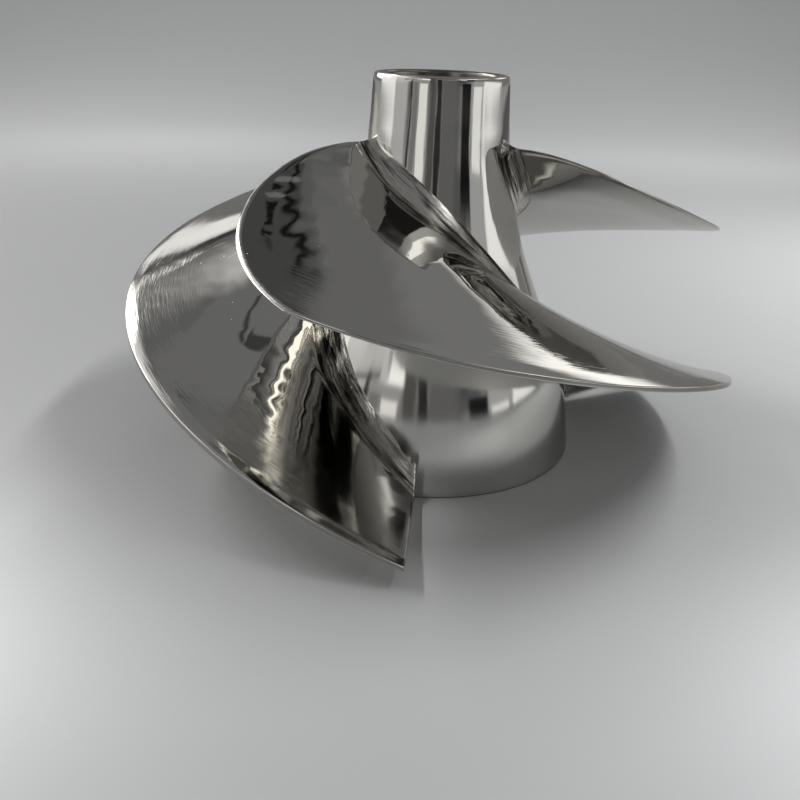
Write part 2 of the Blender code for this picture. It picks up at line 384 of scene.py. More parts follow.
def station_loop(station):
    """Points round a blade at a station: the front side to the nose, then back along the rear."""
    front, rear = [], []
    for turn, swell in station_rows(station):
        front_point = side_point(FRONT, station, turn)
        rear_point = side_point(REAR, station, turn)
        middle = (front_point + rear_point) / 2
        front.append(middle.lerp(front_point, swell))
        rear.append(middle.lerp(rear_point, swell))
    return front[::-1] + rear[1:]


def blade_mesh():
    """Closed loft of one blade, its front tip on +X, from a root sunk in the hub to the tip's land."""
    build = bmesh.new()
    stations = blade_stations()
    rings, finishes, worked = [], [], []
    for station in stations:
        loop = station_loop(station)
        rings.append([build.verts.new((r * cos(turn), r * sin(turn), z)) for r, turn, z in loop])
        across = station[0] * FILLET_WIDTH[FRONT]
        worked += [(hub_radius(z) * turn + REAR_SHIFT * (i > len(loop) / 2), across, turn)
                   for i, (_, turn, z) in enumerate(loop)]
    count = len(rings[0])
    for station, inner, outer in zip(stations[1:], rings, rings[1:]):
        finish = GROUND_ROOT if station[1] == 0 else BUFFED_BLADE
        for i in range(count):
            j = (i + 1) % count
            build.faces.new((inner[i], inner[j], outer[j], outer[i]))
            finishes.append(finish)
    for ring, finish in ((rings[0], GROUND_ROOT), (rings[-1], TURNED_LAND)):
        for i in range(count // 2 - 1):
            build.faces.new((ring[i], ring[i + 1], ring[count - 2 - i], ring[count - 1 - i]))
        build.faces.new(ring[count // 2 - 1:count // 2 + 2])
        finishes += [finish] * (count // 2)
    return new_mesh("blade", build, finishes, worked)


def broach_mesh():
    """Star-shaped broach that cuts the splines, from the boss's foot to the counterbore."""
    build = bmesh.new()
    outer = SHAFT_BORE_RADIUS + SPLINE_DEPTH
    inner = SHAFT_BORE_RADIUS - SPLINE_DEPTH / 3
    half = SPLINE_GROOVE / 2
    corners = ((-half - SPLINE_FLANK, inner), (-half, outer), (half, outer), (half + SPLINE_FLANK, inner))
    outline = []
    for tooth in range(SPLINE_TEETH):
        for part, radius in corners:
            angle = 2 * pi * (tooth + part) / SPLINE_TEETH
            outline.append((radius * cos(angle), radius * sin(angle)))
    ends = []
    for height in (BOSS_FOOT - SPLINE_OVERRUN, COUNTERBORE_FLOOR + SPLINE_OVERRUN):
        ends.append([build.verts.new((x, y, height)) for x, y in outline])
        build.faces.new(ends[-1])
    for i in range(len(outline)):
        j = (i + 1) % len(outline)
        build.faces.new((ends[0][i], ends[0][j], ends[1][j], ends[1][i]))
    return new_mesh("spline_broach", build, [MACHINED] * len(build.faces))


def add_node(tree, kind, inputs=None, **settings):
    """Adds a node, sets its options, and gives its sockets their values or links."""
    node = tree.nodes.new(kind)
    for name, value in settings.items():
        setattr(node, name, value)
    for socket, value in (inputs or {}).items():
        if isinstance(value, bpy.types.NodeSocket):
            tree.links.new(value, node.inputs[socket])
        else:
            node.inputs[socket].default_value = value
    return node


def casting_tree(finishes):
    """Geometry nodes that set the blades round the hub, join and broach it, and give the finishes."""
    tree = bpy.data.node_groups.new("blades_round_a_hub", "GeometryNodeTree")
    sockets = (("Hub", "NodeSocketGeometry"), ("Blade", "NodeSocketObject"),
               ("Broach", "NodeSocketObject"), ("Blade Count", "NodeSocketInt"),
               ("First Tip Azimuth", "NodeSocketFloat"))
    for name, kind in sockets:
        tree.interface.new_socket(name, in_out="INPUT", socket_type=kind)
    tree.interface.new_socket("Casting", in_out="OUTPUT", socket_type="NodeSocketGeometry")
    given = add_node(tree, "NodeGroupInput").outputs
    blade = add_node(tree, "GeometryNodeObjectInfo", {"Object": given["Blade"]})
    broach = add_node(tree, "GeometryNodeObjectInfo", {"Object": given["Broach"]})
    places = add_node(tree, "GeometryNodeMeshLine", {"Count": given["Blade Count"], "Offset": (0, 0, 0)})
    index = add_node(tree, "GeometryNodeInputIndex").outputs[0]
    pitch = add_node(tree, "ShaderNodeMath", {0: 2 * pi, 1: given["Blade Count"]}, operation="DIVIDE")
    azimuth = add_node(tree, "ShaderNodeMath", {0: index, 1: pitch.outputs[0],
                       2: given["First Tip Azimuth"]}, operation="MULTIPLY_ADD")
    rotation = add_node(tree, "ShaderNodeCombineXYZ", {"Z": azimuth.outputs[0]})
    blades = add_node(tree, "GeometryNodeInstanceOnPoints", {"Points": places.outputs[0],
                      "Instance": blade.outputs["Geometry"], "Rotation": rotation.outputs[0]})
    ring = add_node(tree, "GeometryNodeRealizeInstances", {0: blades.outputs[0]})
    joined = add_node(tree, "GeometryNodeMeshBoolean", {"Mesh 2": given["Hub"]},
                      operation="UNION", solver="EXACT")
    tree.links.new(ring.outputs[0], joined.inputs["Mesh 2"])
    cut = add_node(tree, "GeometryNodeMeshBoolean", {"Mesh 1": joined.outputs["Mesh"],
                   "Mesh 2": broach.outputs["Geometry"]}, operation="DIFFERENCE", solver="EXACT")
    solid = add_node(tree, "GeometryNodeRealizeInstances", {0: cut.outputs["Mesh"]}).outputs[0]
    finish = add_node(tree, "GeometryNodeInputNamedAttribute", {"Name": "finish"}, data_type="INT")
    for number, material in enumerate(finishes):
        same = add_node(tree, "FunctionNodeCompare", {"A": finish.outputs[0], "B": number},
                        data_type="INT", operation="EQUAL")
        solid = add_node(tree, "GeometryNodeSetMaterial", {"Geometry": solid, "Material": material,
                         "Selection": same.outputs[0]}).outputs[0]
    add_node(tree, "NodeGroupOutput", {"Casting": solid})
    return tree


def polish_wave(place, turn):
    """Height of the waves in the casting's outer side: slight flutes on the hub, more on the blades."""
    outside = sqrt(place.x ** 2 + place.y ** 2) - hub_radius(place.z)
    if outside < -INSIDE_MARGIN:
        return 0.0
    flutes = FLUTE_HEIGHT * noise.noise(Vector([p / s for p, s in zip(place, FLUTE_SPACING)]))
    if outside <= 0:
        return flutes
    calm = min(max((turn - LEAD_WAVES[0]) / (LEAD_WAVES[1] - LEAD_WAVES[0]), 0.0), 1.0)
    share = min(outside / WAVE_FADE, 1.0) * (1 - (1 - CALM_SHARE) * calm)
    return flutes + share * sum(height * noise.noise(place / spacing) for height, spacing in BLADE_WAVES)


def wave_slopes(mesh):
    """Wave height and its slope along each axis, at every vertex."""
    turns = {loop.vertex_index: place.vector.z
             for loop, place in zip(mesh.loops, mesh.attributes["worked"].data)}
    slopes = []
    for vertex in mesh.vertices:
        turn = turns[vertex.index]
        height = polish_wave(vertex.co, turn)
        steps = [polish_wave(vertex.co + Vector(axis) * GRADIENT_STEP, turn) - height
                 for axis in ((1, 0, 0), (0, 1, 0), (0, 0, 1))]
        slopes.append((height, Vector(steps) / GRADIENT_STEP))
    return slopes


def lay_waves(mesh, normals):
    """Moves the casting's surface by its polish waves and leans the corners' normals to match."""
    slopes = wave_slopes(mesh)
    waved = []
    for face in mesh.polygons:
        for corner in face.loop_indices:
            normal = normals[corner]
            slope = slopes[mesh.loops[corner].vertex_index][1]
            if face.material_index in (BUFFED_HUB, BUFFED_BLADE, GROUND_ROOT):
                normal = (normal - slope + slope.dot(normal) * normal).normalized()
            waved.append(normal)
    places = []
    for vertex, (height, _) in zip(mesh.vertices, slopes):
        places.extend(vertex.co + vertex.normal * height)
    mesh.vertices.foreach_set("co", places)
    return waved


def cast_impeller(finishes):
    """The whole casting as one closed mesh, with the clean normals of its uncut parts."""
    scene = bpy.context.scene
    hub = bpy.data.objects.new("hub", hub_mesh())
    blade = bpy.data.objects.new("blade", blade_mesh())
    broach = bpy.data.objects.new("spline_broach", broach_mesh())
    for part in (hub, blade, broach):
        scene.collection.objects.link(part)
    tree = casting_tree(finishes)
    modifier = hub.modifiers.new("Cast", "NODES")
    modifier.node_group = tree
    values = {"Blade": blade, "Broach": broach, "Blade Count": BLADE_COUNT,
              "First Tip Azimuth": FIRST_TIP_AZIMUTH}
    for socket in tree.interface.items_tree:
        if socket.name in values:
            modifier[socket.identifier] = values[socket.name]
    mesh = bpy.data.meshes.new_from_object(hub.evaluated_get(bpy.context.evaluated_depsgraph_get()))
    for part in (hub, blade, broach):
        bpy.data.objects.remove(part)
    mesh.name = "impeller_casting_polished"
    normals = [turned(kept.vector, azimuth_of(mesh, corner)).normalized()
               for corner, kept in enumerate(mesh.attributes["clean_normal"].data)]
    mesh.attributes.remove(mesh.attributes["clean_normal"])
    mesh.normals_split_custom_set(lay_waves(mesh, normals))
    casting = bpy.data.objects.new("impeller_casting_polished", mesh)
    scene.collection.objects.link(casting)
    return casting


# Colours of the steel, one metal under all its finishes, and its tint at a grazing look
STEEL = "#CBCAC6"
EDGE_TINT = "#E2E1DF"
GROUND_STEEL = "#C4C2BD"
SCRATCH_STEEL = "#3A3936"
LAND_STEEL = "#96948F"
BORE_STEEL = "#837F78"
CAST_STEEL = "#8E8C87"

# Most values of a noise texture lie between these
NOISE_RANGE = (0.3, 0.7)

# Finish sizes. Lathe and brush lines of 0.1 mm and less are drawn 0.4 to 0.5 mm apart, and grinding
# scratches of 0.3 mm are drawn 1 to 2 mm apart, so that they show
BRUSH_SPACING = 0.0005
BRUSH_LENGTH = 0.006
BRUSH_DEPTH = 0.000034
BRUSH_BAND = (0.056, 0.077)
PATCH_LEVELS = (0.35, 0.65)
PATCH_SHARE = (0.35, 1.0)
BLADE_ROUGHNESS = 0.02
BRUSHED_ROUGHNESS = 0.09
HAZE_SIZE = 0.018
HAZE_SHARE = (0.75, 1.25)
LINE_SPACING = 0.0004
HUB_LINE_CHANGES = 2.0
LATHE_LINE_CHANGES = 1.5
SOFT_BAND = (0.030, 0.060)
SOFT_ROUGHNESS = 0.095
NECK_ROUGHNESS = 0.06
RING_STRETCH = 0.85
HUB_LINE_DEPTH = 0.0000015
HUB_STREAK_SPACING = 0.0011
HUB_STREAK_LENGTH = 0.015
HUB_STREAK_DEPTH = 0.000020
PIT_SPACING = 0.0056
PIT_RADIUS = 0.00022
PIT_BOTTOM = 0.4
PIT_DEPTH = 0.00004
PIT_ROUGHNESS = 0.4
GRIND_SPACING = 0.0012
GRIND_LENGTH = 0.014
GRIND_DEPTH = 0.00060
GROUND_ROUGHNESS = (0.05, 0.15)
SCRATCH_SPACING = 0.0018
SCRATCH_LENGTH = 0.016
SCRATCH_LEVELS = (0.50, 0.60)
LUMP_SIZE = 0.0030
LUMP_LENGTH = 0.011
LUMP_DEPTH = 0.00130
LATHE_DEPTH = 0.0000040
LAND_ROUGHNESS = (0.10, 0.20)
BORE_ROUGHNESS = (0.12, 0.28)
BLAST_SIZE = 0.0007
BLAST_DEPTH = 0.00009
BLAST_ROUGHNESS = (0.38, 0.62)


def linear(code):
    """Linear colour of an sRGB hex code."""
    parts = [int(code[i:i + 2], 16) / 255 for i in (1, 3, 5)]
    return (*[p / 12.92 if p <= 0.04045 else ((p + 0.055) / 1.055) ** 2.4 for p in parts], 1.0)


def new_metal(name, colour, roughness):
    """A bare metal, with its tree and shader. Nodes refine the plain roughness given here."""
    material = bpy.data.materials.new(name)
    material.use_nodes = True
    shader = material.node_tree.nodes["Principled BSDF"]
    shader.inputs["Base Color"].default_value = linear(colour)
    shader.inputs["Metallic"].default_value = 1.0
    shader.inputs["Specular Tint"].default_value = linear(EDGE_TINT)
    shader.inputs["Roughness"].default_value = roughness
    return material, material.node_tree, shader


def round_the_axis(tree):
    """Place on the object, distance from the pump axis, direction round it, and height."""
    place = add_node(tree, "ShaderNodeTexCoord").outputs["Object"]
    flat = add_node(tree, "ShaderNodeVectorMath", {0: place, 1: (1, 1, 0)}, operation="MULTIPLY").outputs[0]
    radius = add_node(tree, "ShaderNodeVectorMath", {0: flat}, operation="LENGTH").outputs["Value"]
    direction = add_node(tree, "ShaderNodeVectorMath", {0: flat}, operation="NORMALIZE").outputs[0]
    height = add_node(tree, "ShaderNodeSeparateXYZ", {0: place}).outputs["Z"]
    return place, radius, direction, height


def lines(tree, across, spacing, along, changes, detail=2.0):
    """Noise drawn out into lines, a spacing apart across, with so many changes in a unit of along."""
    level = add_node(tree, "ShaderNodeMath", {0: across, 1: 1 / spacing}, operation="MULTIPLY").outputs[0]
    lift = add_node(tree, "ShaderNodeCombineXYZ", {"Z": level}).outputs[0]
    drawn = add_node(tree, "ShaderNodeVectorMath", {0: along, "Scale": changes}, operation="SCALE").outputs[0]
    where = add_node(tree, "ShaderNodeVectorMath", {0: drawn, 1: lift}, operation="ADD").outputs[0]
    return add_node(tree, "ShaderNodeTexNoise", {"Vector": where, "Scale": 1.0, "Detail": detail}).outputs[0]


def relief(tree, height, depth, under=None):
    """Bump of a pattern whose full range is the given depth, laid over an earlier bump."""
    inputs = {"Height": height, "Distance": depth, "Strength": 1.0}
    if under:
        inputs["Normal"] = under
    return add_node(tree, "ShaderNodeBump", inputs).outputs[0]


def pits(tree, place):
    """Small casting pits that the buffing opened: 1 in a pit, 0 elsewhere."""
    cells = add_node(tree, "ShaderNodeTexVoronoi", {"Vector": place, "Scale": 1 / PIT_SPACING})
    edge = PIT_RADIUS / PIT_SPACING
    return add_node(tree, "ShaderNodeMapRange", {"Value": cells.outputs["Distance"], "To Min": 1.0,
                    "To Max": 0.0, "From Min": edge * PIT_BOTTOM, "From Max": edge}).outputs[0]


def buffed_hub():
    """Lathe-turned hub buffed on a wheel: the rings left draw each reflection out up and down.

    The neck is the clearest mirror and the wide end a softer one, with a slight haze in patches.
    """
    material, tree, shader = new_metal("mirror_buffed_stainless_steel_hub", STEEL, NECK_ROUGHNESS)
    place, _, direction, height = round_the_axis(tree)
    haze = add_node(tree, "ShaderNodeTexNoise", {"Vector": place, "Scale": 1 / HAZE_SIZE, "Detail": 3.0})
    haze = add_node(tree, "ShaderNodeMapRange", {"Value": haze.outputs[0], "From Min": NOISE_RANGE[0],
                    "From Max": NOISE_RANGE[1], "To Min": HAZE_SHARE[0], "To Max": HAZE_SHARE[1]}).outputs[0]
    rough = add_node(tree, "ShaderNodeMapRange", {"Value": height, "From Min": SOFT_BAND[0],
                     "From Max": SOFT_BAND[1], "To Min": SOFT_ROUGHNESS, "To Max": NECK_ROUGHNESS}).outputs[0]
    rough = add_node(tree, "ShaderNodeMath", {0: rough, 1: haze}, operation="MULTIPLY").outputs[0]
    tree.links.new(rough, shader.inputs["Roughness"])
    shader.inputs["Anisotropic"].default_value = RING_STRETCH
    up = add_node(tree, "ShaderNodeCombineXYZ", {"Z": 1.0}).outputs[0]
    tree.links.new(up, shader.inputs["Tangent"])
    rings = lines(tree, height, LINE_SPACING, direction, HUB_LINE_CHANGES)
    streaks = lines(tree, height, HUB_STREAK_LENGTH, direction, NECK_RADIUS / HUB_STREAK_SPACING)
    lifted = relief(tree, rings, HUB_LINE_DEPTH)
    lifted = relief(tree, streaks, HUB_STREAK_DEPTH, lifted)
    tree.links.new(lifted, shader.inputs["Normal"])
    return material


def buffed_blade():
    """Cast blade ground and buffed by hand: a mirror at its middle, brushed lines towards the tip.

    Buffing opened a few small casting pits, which show as specks.
    """
    material, tree, shader = new_metal("mirror_buffed_stainless_steel_blades", STEEL, BLADE_ROUGHNESS)
    place, radius, direction, _ = round_the_axis(tree)
    brushed = add_node(tree, "ShaderNodeMapRange", {"Value": radius, "From Min": BRUSH_BAND[0],
                       "From Max": BRUSH_BAND[1]}, interpolation_type="SMOOTHSTEP").outputs[0]
    haze = add_node(tree, "ShaderNodeTexNoise", {"Vector": place, "Scale": 1 / HAZE_SIZE, "Detail": 3.0})
    patches = add_node(tree, "ShaderNodeMapRange", {"Value": haze.outputs[0], "From Min": PATCH_LEVELS[0],
                       "From Max": PATCH_LEVELS[1], "To Min": PATCH_SHARE[0],
                       "To Max": PATCH_SHARE[1]}).outputs[0]
    brushed = add_node(tree, "ShaderNodeMath", {0: brushed, 1: patches}, operation="MULTIPLY").outputs[0]
    marks = pits(tree, place)
    rough = add_node(tree, "ShaderNodeMath", {0: brushed, 1: BRUSHED_ROUGHNESS, 2: BLADE_ROUGHNESS},
                     operation="MULTIPLY_ADD").outputs[0]
    rough = add_node(tree, "ShaderNodeMath", {0: marks, 1: PIT_ROUGHNESS, 2: rough},
                     operation="MULTIPLY_ADD").outputs[0]
    tree.links.new(rough, shader.inputs["Roughness"])
    strokes = lines(tree, radius, BRUSH_SPACING, direction, TIP_RADIUS / BRUSH_LENGTH)
    strokes = add_node(tree, "ShaderNodeMath", {0: strokes, 1: brushed}, operation="MULTIPLY").outputs[0]
    sunk = add_node(tree, "ShaderNodeMath", {0: marks, 1: -1.0}, operation="MULTIPLY").outputs[0]
    lifted = relief(tree, strokes, BRUSH_DEPTH)
    tree.links.new(relief(tree, sunk, PIT_DEPTH, lifted), shader.inputs["Normal"])
    return material


def ground_root():
    """Blade root blended with a small grinding wheel: low ripples along the root, and scratches.

    Dark lines along the root are painted into its colour.
    """
    material, tree, shader = new_metal("ground_stainless_steel_roots", GROUND_STEEL, GROUND_ROUGHNESS[1])
    worked = add_node(tree, "ShaderNodeAttribute", attribute_name="worked").outputs["Vector"]
    along, across, _ = add_node(tree, "ShaderNodeSeparateXYZ", {0: worked}).outputs
    along = add_node(tree, "ShaderNodeCombineXYZ", {"X": along}).outputs[0]
    scratches = lines(tree, across, GRIND_SPACING, along, 1 / GRIND_LENGTH, detail=4.0)
    dark = lines(tree, across, SCRATCH_SPACING, along, 1 / SCRATCH_LENGTH, detail=3.0)
    dark = add_node(tree, "ShaderNodeMapRange", {"Value": dark, "From Min": SCRATCH_LEVELS[0],
                    "From Max": SCRATCH_LEVELS[1]})
    colour = add_node(tree, "ShaderNodeMix", {0: dark.outputs[0], 6: linear(GROUND_STEEL),
                      7: linear(SCRATCH_STEEL)}, data_type="RGBA")
    tree.links.new(colour.outputs[2], shader.inputs["Base Color"])
    lumps = lines(tree, across, LUMP_SIZE, along, 1 / LUMP_LENGTH, detail=0.5)
    rough = add_node(tree, "ShaderNodeMapRange", {"Value": scratches, "From Min": NOISE_RANGE[0],
                     "From Max": NOISE_RANGE[1], "To Min": GROUND_ROUGHNESS[0],
                     "To Max": GROUND_ROUGHNESS[1]})
    tree.links.new(rough.outputs[0], shader.inputs["Roughness"])
    lifted = relief(tree, lumps, LUMP_DEPTH)
    tree.links.new(relief(tree, scratches, GRIND_DEPTH, lifted), shader.inputs["Normal"])
    return material


def turned_steel(name, colour, roughness, depth):
    """Steel left as the lathe cut it: fine rings round the axis that break up its shine."""
    low, high = roughness
    material, tree, shader = new_metal(name, colour, high)
    _, radius, direction, height = round_the_axis(tree)
    level = add_node(tree, "ShaderNodeMath", {0: radius, 1: height}, operation="ADD").outputs[0]
    rings = lines(tree, level, LINE_SPACING, direction, LATHE_LINE_CHANGES, detail=3.0)
    rough = add_node(tree, "ShaderNodeMapRange", {"Value": rings, "From Min": NOISE_RANGE[0],
                     "From Max": NOISE_RANGE[1], "To Min": low, "To Max": high})
    tree.links.new(rough.outputs[0], shader.inputs["Roughness"])
    tree.links.new(relief(tree, rings, depth), shader.inputs["Normal"])
    return material


def blasted_steel():
    """Inside of the casting, left shot blasted: matt grey with a fine grain and small pits."""
    material, tree, shader = new_metal("shot_blasted_stainless_steel", CAST_STEEL, BLAST_ROUGHNESS[0])
    place = add_node(tree, "ShaderNodeTexCoord").outputs["Object"]
    grain = add_node(tree, "ShaderNodeTexNoise", {"Vector": place, "Scale": 1 / BLAST_SIZE, "Detail": 3.0})
    stains = add_node(tree, "ShaderNodeTexNoise", {"Vector": place, "Scale": 1 / HAZE_SIZE, "Detail": 4.0})
    tone = add_node(tree, "ShaderNodeMapRange", {"Value": stains.outputs[0],
                    "From Min": NOISE_RANGE[0], "From Max": NOISE_RANGE[1]})
    colour = add_node(tree, "ShaderNodeMix", {0: tone.outputs[0], 6: linear(CAST_STEEL),
                      7: linear(GROUND_STEEL)}, data_type="RGBA")
    tree.links.new(colour.outputs[2], shader.inputs["Base Color"])
    rough = add_node(tree, "ShaderNodeMapRange", {"Value": grain.outputs[0],
                     "To Min": BLAST_ROUGHNESS[0], "To Max": BLAST_ROUGHNESS[1]})
    tree.links.new(rough.outputs[0], shader.inputs["Roughness"])
    tree.links.new(relief(tree, grain.outputs[0], BLAST_DEPTH), shader.inputs["Normal"])
    return material


# Camera, fitted to the photograph: its place, and its pitch down, yaw to the right and roll
CAMERA_PLACE = Vector((0.0, -0.225395, 0.108025))
CAMERA_PITCH = radians(23.872)
CAMERA_YAW = radians(-1.837)
CAMERA_ROLL = radians(2.202)
FOCAL_PIXELS = 859.21
FRAME_PIXELS = 800
SENSOR_WIDTH = 36.0


def add_camera():
    """Camera at the photograph's viewing angle."""
    data = bpy.data.cameras.new("camera")
    data.sensor_width = SENSOR_WIDTH
    data.lens = FOCAL_PIXELS / FRAME_PIXELS * SENSOR_WIDTH
    data.clip_start = 0.01
    camera = bpy.data.objects.new("camera", data)
    level = cos(CAMERA_PITCH)
    ahead = Vector((sin(CAMERA_YAW) * level, cos(CAMERA_YAW) * level, -sin(CAMERA_PITCH)))
    right = Vector((cos(CAMERA_YAW), -sin(CAMERA_YAW), 0.0))
    up = right.cross(ahead)
    across = cos(CAMERA_ROLL) * right + sin(CAMERA_ROLL) * up
    upward = -sin(CAMERA_ROLL) * right + cos(CAMERA_ROLL) * up
    camera.matrix_world = Matrix((across, upward, -ahead)).transposed().to_4x4()
    camera.matrix_world.translation = CAMERA_PLACE
    bpy.context.scene.collection.objects.link(camera)
    bpy.context.scene.camera = camera


# Studio round the casting in degrees: azimuth, elevation, half width, half height, turn, softness,
# brightness and warmth of each lamp or cloth, each laid over those before it
STUDIO_CARDS = (
    (99, 67, 67, 16, -12, 6, 0.20, 0.0),        # grey roof cloth behind
    (102, 48, 15, 8.5, -13, 1, 0.08, 0.0),      # dark gap below it
    (94, 54, 6, 0.9, 37, 1.6, 0.01, 0.0),       # black edge of the gap
    (102, 54.4, 1.6, 0.7, 0, 1.2, 0.01, 0.0),   # black knot in it
    (64, 71.6, 15, 1.6, 3, 1.3, 0.06, 0.0),     # roof seam, right
    (95, 73.5, 15, 0.7, 8, 1.6, 0.05, 0.0),     # roof seam, left
    (80, 57, 14, 2.4, 3, 2, 0.14, 0.0),         # shade under the roof cloth
    (83, 42, 8, 15, 8, 7, 0.19, 0.05),          # olive cloth
    (47, 28, 22, 6, -14, 8, 1.75, 0.2),         # right rear lamp
    (118, 22.5, 6, 5.5, 0, 4, 1.35, 0.05),      # left rear lamp
    (120.5, 46, 4, 14, 0, 3, 0.16, 0.0),        # grey cloth beside the window
    (139, 49, 12, 14, 0, 12, 1.1, 0.2),         # the window's glow
    (151, 27, 22, 21, 4, 3, 5.0, 0.45),         # left rear window
    (121, 30.4, 5, 1.4, 0, 1.2, 0.07, 0.0),     # dark edge of the left rear lamp
    (128, 34, 5, 1.4, 0, 1.2, 1.5, 0.1),        # lit edge over it
    (190, 30, 18, 19, 0, 5, 1.3, 0.3),          # the window's screen
    (171, 6, 19, 8, 0, 8, 1.3, 0.15),           # left wall
    (202, 6, 12, 8, 0, 6, 0.60, 0.1),           # its shaded end
    (212, 20, 23, 8, 18, 3, 0.75, 0.15),        # left front screen
    (217, 20.5, 12, 1.6, 18, 2, 0.03, 0.0),     # its dark frame
    (245, 26, 9.5, 4.5, 2, 5, 1.5, 0.25),       # left front lamp
    (236, 10, 14, 10, -6, 4.5, 0.40, 0.1),      # pale front screen
    (228, 4, 4, 9, 0, 3, 0.24, 0.0),            # its shade
    (241, 3, 6.5, 7, 0, 3, 1.1, 0.3),           # its lit strip
    (220, 10, 1.8, 14, 0, 2, 0.04, 0.0),        # the frame's post
    (257, 16, 5, 19, 4, 3, 0.11, 0.6),          # stand's edge
    (268, 13, 4, 17, 3, 2, 0.03, 0.5),          # stand beside the camera
    (287, 7, 14, 18, -3, 4, 0.155, 0.1),        # grey cloth round the camera
    (306, 14, 10, 10, 2, 5, 0.12, 0.0),         # shade on the right
    (313.5, 5, 8, 8, 0, 3, 0.01, 0.0),          # dark screen on the right
    (338, 8, 16, 9, -8, 3, 0.48, 0.0),          # pale screen on the right
    (336, 0, 12, 4, 0, 2, 1.15, 0.1),           # its foot
    (342, 2, 1.6, 6, 0, 1.5, 0.45, 0.0),        # its post
    (366, 4, 21, 7.5, -14, 5, 1.25, 0.15),      # right wall lamp
    (177, 58, 30, 11, 6, 8, 0.38, 0.1),         # left roof cloth
    (255, 62, 49, 5, -6, 5, 0.10, 0.0),         # dark roof gap
    (344, 44, 51, 5.6, 4, 10, 0.85, 0.1),       # right roof lamp
    (336, 44, 13, 4, 4, 4, 2.4, 0.1),           # its bright middle
    (270, 44, 32, 7, -4, 4, 0.02, 0.0),         # dark roof over the camera
    (310, 30.5, 7, 1.6, -9, 2, 1.6, 0.1),       # lamp's end
    (303, 23, 3, 5.5, 4, 2, 0.06, 0.0),         # dark post
    (323, 25, 6.7, 5.4, 10, 4.5, 0.02, 0.0),    # dark hood
    (348, 24, 12, 6, -4, 2.5, 0.24, 0.0),       # grey hood
    (212, -1, 220, 1.0, 0, 2, 0.45, 0.0),       # haze of the floor's far end
)
STUDIO_GREY = 0.25
STUDIO_SEAM = 32.0
WARM = Vector((1.0, 0.93, 0.80))
NEUTRAL = Vector((1.0, 1.0, 1.0))

# Floor that the steel mirrors, and the sweep that the camera sees: flat just over the floor, then
# curving up all round
FLOOR_RADIUS = 3.0
SWEEP_START = 0.72
SWEEP_CURVE = 0.60
SWEEP_TOP = 1.60
SWEEP_STEPS = 24
SWEEP_SEGMENTS = 128
STAGE_STEP = 0.001
SWEEP_LIFT = 0.0002
FLOOR_GREY = "#D8D9DA"
SWEEP_GREY = "#E2E3E4"
SATIN_ROUGHNESS = 0.50
SATIN_SHINE = 0.25


def card_group():
    """Nodes that lay one lamp or cloth over the studio's colour so far."""
    tree = bpy.data.node_groups.new("studio_card", "ShaderNodeTree")
    for name in ("Direction", "Middle", "Turn", "Half Size"):
        tree.interface.new_socket(name, in_out="INPUT", socket_type="NodeSocketVector")
    tree.interface.new_socket("Softness", in_out="INPUT", socket_type="NodeSocketFloat")
    for name in ("Colour", "Card Colour"):
        tree.interface.new_socket(name, in_out="INPUT", socket_type="NodeSocketColor")
    tree.interface.new_socket("Colour", in_out="OUTPUT", socket_type="NodeSocketColor")
    given = add_node(tree, "NodeGroupInput").outputs
    place = add_node(tree, "ShaderNodeMapping", {"Vector": given["Direction"], "Location": given["Middle"],
                     "Rotation": given["Turn"]}, vector_type="TEXTURE")
    place = add_node(tree, "ShaderNodeVectorMath", {0: place.outputs[0]}, operation="ABSOLUTE")
    outside = add_node(tree, "ShaderNodeVectorMath", {0: place.outputs[0], 1: given["Half Size"]},
                       operation="SUBTRACT")
    sides = add_node(tree, "ShaderNodeSeparateXYZ", {0: outside.outputs[0]}).outputs
    farther = add_node(tree, "ShaderNodeMath", {0: sides["X"], 1: sides["Y"]}, operation="MAXIMUM")
    faded = add_node(tree, "ShaderNodeMath", {0: farther.outputs[0], 1: given["Softness"]},
                     operation="DIVIDE")
    share = add_node(tree, "ShaderNodeMapRange", {"Value": faded.outputs[0], "From Min": -0.5,
                     "From Max": 0.5, "To Min": 1.0, "To Max": 0.0}, interpolation_type="SMOOTHSTEP")
    laid = add_node(tree, "ShaderNodeMix", {0: share.outputs[0], 6: given["Colour"],
                    7: given["Card Colour"]}, data_type="RGBA")
    add_node(tree, "NodeGroupOutput", {"Colour": laid.outputs[2]})
    return tree


